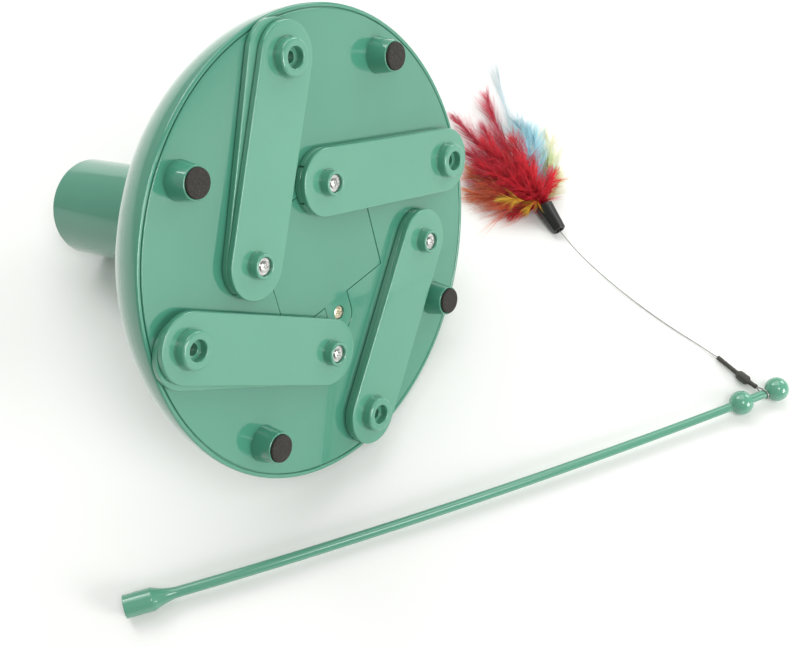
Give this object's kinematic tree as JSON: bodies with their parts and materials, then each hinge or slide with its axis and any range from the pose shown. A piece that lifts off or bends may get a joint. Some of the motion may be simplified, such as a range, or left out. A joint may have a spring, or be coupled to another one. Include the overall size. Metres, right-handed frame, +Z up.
{
  "type": "pet_toy",
  "caption": "Motorized wand toy for cats: dome base with tower and folding legs lying on its side, bowed wand with ball tips, feather lure on a thin wire",
  "frame": {"origin": "On the floor under the middle of the box of the whole set: base on its side, wand and lure beside it", "axes": "+X runs to the right along the wand from its socket to its balls, +Y runs away from the wand past the base, +Z is up from the floor"},
  "size_m": [0.3755, 0.3186, 0.1937],
  "materials": {
    "teal_gloss": "gloss",
    "pad_rubber": "matt",
    "screw_steel": "satin",
    "cell_can": "satin",
    "motor_can": "satin",
    "bush_brass": "satin",
    "board_laminate": "satin",
    "black_plastic": "satin",
    "gear_plastic": "satin",
    "lead_insulation": "satin",
    "lure_steel": "satin",
    "feather_red": "soft",
    "feather_blue": "soft",
    "feather_green": "soft",
    "feather_orange": "soft"
  },
  "bodies": {
    "base": {"dome_housing": "teal_gloss", "base_plate": "teal_gloss", "foot_pads": "pad_rubber", "housing_screws": "screw_steel", "battery_door": "teal_gloss", "battery_door_screw": "screw_steel", "batteries": "cell_can", "battery_contacts": "screw_steel", "battery_springs": "screw_steel", "battery_leads": "lead_insulation", "circuit_board": "board_laminate", "board_screws": "screw_steel", "power_switch": "black_plastic", "motor": "motor_can", "motor_screws": "screw_steel", "motor_leads": "lead_insulation", "gearbox_frame": "gear_plastic", "gearbox_cover": "gear_plastic", "gearbox_screws": "screw_steel", "idler_axle": "screw_steel", "shaft_bush": "bush_brass", "pivot_pin_1": "screw_steel", "pivot_pin_2": "screw_steel", "pivot_pin_3": "screw_steel", "pivot_pin_4": "screw_steel"},
    "motor_rotor": {"motor_shaft": "screw_steel", "motor_pinion": "gear_plastic"},
    "first_gear": {"first_gear": "gear_plastic"},
    "second_gear": {"second_gear": "gear_plastic"},
    "third_gear": {"third_gear": "gear_plastic"},
    "rotor": {"output_gear": "gear_plastic", "output_shaft": "screw_steel", "rotor_head": "teal_gloss", "rotor_screw": "screw_steel"},
    "power_button": {"power_button": "teal_gloss", "switch_plunger": "gear_plastic"},
    "inner_arm_1": {"inner_arm_1": "teal_gloss", "elbow_screw_1": "screw_steel"},
    "outer_arm_1": {"outer_arm_1": "teal_gloss"},
    "inner_arm_2": {"inner_arm_2": "teal_gloss", "elbow_screw_2": "screw_steel"},
    "outer_arm_2": {"outer_arm_2": "teal_gloss"},
    "inner_arm_3": {"inner_arm_3": "teal_gloss", "elbow_screw_3": "screw_steel"},
    "outer_arm_3": {"outer_arm_3": "teal_gloss"},
    "inner_arm_4": {"inner_arm_4": "teal_gloss", "elbow_screw_4": "screw_steel"},
    "outer_arm_4": {"outer_arm_4": "teal_gloss"},
    "wand": {"wand": "teal_gloss"},
    "lure": {"lure_loop": "lure_steel", "lure_sleeve": "black_plastic", "lure_wire": "lure_steel", "lure_cap": "black_plastic", "feather_red": "feather_red", "feather_crimson": "feather_red", "feather_blue": "feather_blue", "feather_green": "feather_green", "feather_orange": "feather_orange"}
  },
  "joints": [
    {"name": "rotor_spin", "type": "hinge", "parent": "base", "child": "rotor", "pos_m": [-0.16926, 0.05363, 0.02348], "axis": [-0.7802, 0.4114, -0.4712], "continuous": true},
    {"name": "third_gear_spin", "type": "hinge", "parent": "base", "child": "third_gear", "pos_m": [-0.14834, 0.05398, 0.03796], "axis": [-0.7802, 0.4114, -0.4712], "continuous": true},
    {"name": "second_gear_spin", "type": "hinge", "parent": "base", "child": "second_gear", "pos_m": [-0.14663, 0.0417, 0.03714], "axis": [-0.7802, 0.4114, -0.4712], "continuous": true},
    {"name": "first_gear_spin", "type": "hinge", "parent": "base", "child": "first_gear", "pos_m": [-0.13897, 0.04905, 0.04361], "axis": [-0.7802, 0.4114, -0.4712], "continuous": true},
    {"name": "motor_spin", "type": "hinge", "parent": "base", "child": "motor_rotor", "pos_m": [-0.13961, 0.038, 0.04138], "axis": [-0.7802, 0.4114, -0.4712], "continuous": true},
    {"name": "power_press", "type": "slide", "parent": "base", "child": "power_button", "axis": [0.3846, -0.8238, 0.4164], "range_m": [0, 0.0015], "stiffness_N_per_m": 600},
    {"name": "leg_1_swing", "type": "hinge", "parent": "base", "child": "inner_arm_1", "pos_m": [0.01095, 0.05425, 0.06836], "axis": [0.7802, -0.4114, 0.4712], "range_deg": [-21, 5]},
    {"name": "leg_1_elbow", "type": "hinge", "parent": "inner_arm_1", "child": "outer_arm_1", "pos_m": [-0.04175, 0.00776, 0.12141], "axis": [0.7802, -0.4114, 0.4712], "range_deg": [0, 13]},
    {"name": "leg_2_swing", "type": "hinge", "parent": "base", "child": "inner_arm_2", "pos_m": [-0.02449, -0.0627, 0.02495], "axis": [0.7802, -0.4114, 0.4712], "range_deg": [0, 3]},
    {"name": "leg_2_elbow", "type": "hinge", "parent": "inner_arm_2", "child": "outer_arm_2", "pos_m": [0.0019, 0.01543, 0.05582], "axis": [0.7802, -0.4114, 0.4712], "range_deg": [-4, 4]},
    {"name": "leg_3_swing", "type": "hinge", "parent": "base", "child": "inner_arm_3", "pos_m": [-0.09745, -0.07986, 0.13078], "axis": [0.7802, -0.4114, 0.4712], "range_deg": [-8, 5]},
    {"name": "leg_3_elbow", "type": "hinge", "parent": "inner_arm_3", "child": "outer_arm_3", "pos_m": [-0.04136, -0.05124, 0.06924], "axis": [0.7802, -0.4114, 0.4712], "range_deg": [0, 14]},
    {"name": "leg_4_swing", "type": "hinge", "parent": "base", "child": "inner_arm_4", "pos_m": [-0.062, 0.03709, 0.17419], "axis": [0.7802, -0.4114, 0.4712], "range_deg": [-10, 3]},
    {"name": "leg_4_elbow", "type": "hinge", "parent": "inner_arm_4", "child": "outer_arm_4", "pos_m": [-0.07008, -0.03779, 0.12857], "axis": [0.7802, -0.4114, 0.4712], "range_deg": [0, 14]},
    {"name": "wand_lift", "type": "slide", "parent": "base", "child": "wand", "axis": [0, 0, 1], "range_m": [0, 0.1]},
    {"name": "lure_swing", "type": "hinge", "parent": "wand", "child": "lure", "pos_m": [0.17538, -0.04571, 0.00617], "axis": [0.9287, 0.3709, 0.0016], "range_deg": [0, 120]}
  ],
  "couplings": [
    {"joint": "third_gear_spin", "follows": "rotor_spin", "ratio": -3},
    {"joint": "second_gear_spin", "follows": "rotor_spin", "ratio": 9},
    {"joint": "first_gear_spin", "follows": "rotor_spin", "ratio": -27},
    {"joint": "motor_spin", "follows": "rotor_spin", "ratio": 81}
  ]
}
